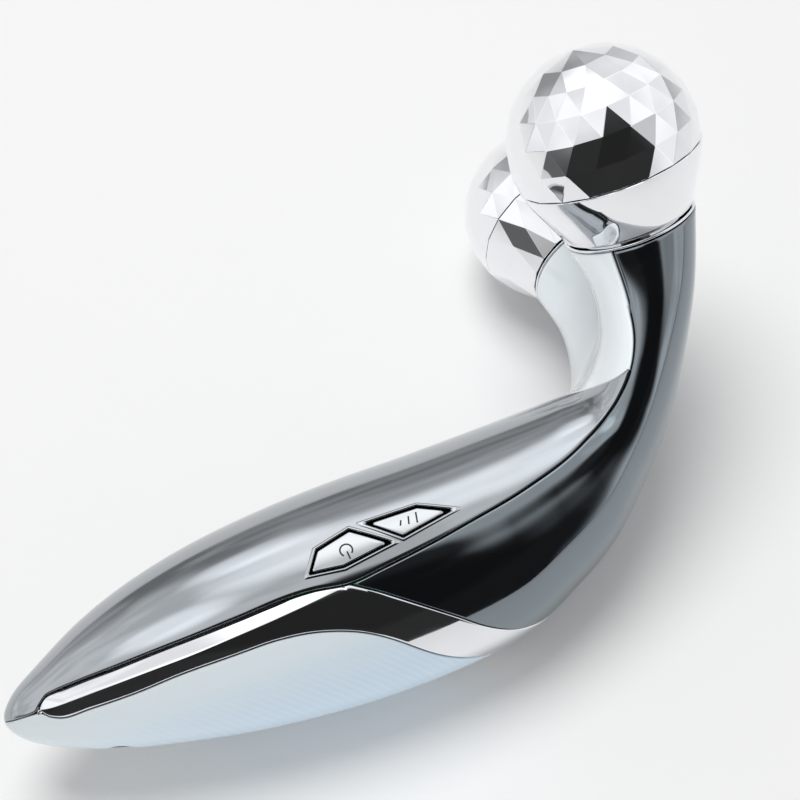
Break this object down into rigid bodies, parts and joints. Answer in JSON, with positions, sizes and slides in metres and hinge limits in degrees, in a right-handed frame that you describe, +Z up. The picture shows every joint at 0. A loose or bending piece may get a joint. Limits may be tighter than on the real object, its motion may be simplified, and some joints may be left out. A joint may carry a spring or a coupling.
{
  "type": "facial toning device",
  "caption": "Hand-held facial toning device: a leaf-shaped handle bends into a fork with two faceted balls that spin freely.",
  "frame": {"origin": "centre of the bounding box in plan, at the table on which the device lies on its left ball and left flank", "axes": "+X along the handle from its tail to the balls, +Z up from the table, +Y towards the side on which the fork rises; the buttons face up on the right flank"},
  "size_m": [0.1732, 0.1154, 0.0904],
  "materials": {
    "gunmetal": "dark chrome plating, mirror bright",
    "bright_chrome": "bright chrome plating, mirror bright",
    "ball_metal": "faceted and chrome plated, mirror bright",
    "ice_white": "smooth gloss, ice white",
    "rippled_white": "satin with fine slanting ripples, ice white",
    "nylon": "plain moulded",
    "steel": "turned steel",
    "mat_rubber": "plain silicone",
    "board_green": "solder mask",
    "chip_black": "moulded",
    "light_lens": "clear moulded",
    "cell_wrap": "printed film over a metal can",
    "brass": "pressed heavy alloy"
  },
  "bodies": {
    "handle": {"top_cover": "gunmetal", "grip_shell": "rippled_white", "right_band": "bright_chrome", "left_band": "bright_chrome", "right_arm_cover": "gunmetal", "left_arm_cover": "gunmetal", "fork_panel": "ice_white", "right_arm_ring": "bright_chrome", "left_arm_ring": "bright_chrome", "frame_plate": "nylon", "fork_core": "nylon", "right_axle": "steel", "left_axle": "steel", "right_axle_screw": "steel", "left_axle_screw": "steel", "button_mat": "mat_rubber", "circuit_board": "board_green", "switches": "chip_black", "status_light": "light_lens", "control_chip": "chip_black", "battery": "cell_wrap", "motor": "steel", "charging_socket": "nylon", "case_screws": "steel"},
    "right_ball": {"right_ball_dome": "ball_metal", "right_ball_cup": "ball_metal", "right_ball_hub": "nylon", "right_ball_bearings": "steel"},
    "left_ball": {"left_ball_dome": "ball_metal", "left_ball_cup": "ball_metal", "left_ball_hub": "nylon", "left_ball_bearings": "steel"},
    "power_button": {"power_button": "gunmetal"},
    "mode_button": {"mode_button": "gunmetal"},
    "motor_weight": {"motor_weight": "brass"}
  },
  "joints": [
    {"name": "right_ball_spin", "type": "hinge", "parent": "handle", "child": "right_ball", "pos_m": [0.06685, 0.01639, 0.07043], "axis": [-0.0698, 0.617, 0.7839], "continuous": true},
    {"name": "left_ball_spin", "type": "hinge", "parent": "handle", "child": "left_ball", "pos_m": [0.06473, 0.03788, 0.01985], "axis": [-0.1066, 0.9899, -0.0938], "continuous": true},
    {"name": "power_press", "type": "slide", "parent": "handle", "child": "power_button", "axis": [-0.0417, 0.0872, -0.9953], "range_m": [0, 0.0006], "stiffness_N_per_m": 1500, "springref_m": -0.0006},
    {"name": "mode_press", "type": "slide", "parent": "handle", "child": "mode_button", "axis": [-0.0417, 0.0872, -0.9953], "range_m": [0, 0.0006], "stiffness_N_per_m": 1500, "springref_m": -0.0006},
    {"name": "motor_spin", "type": "hinge", "parent": "handle", "child": "motor_weight", "pos_m": [0.02525, -0.02605, 0.01881], "axis": [0.9991, 0, -0.0419], "continuous": true}
  ]
}
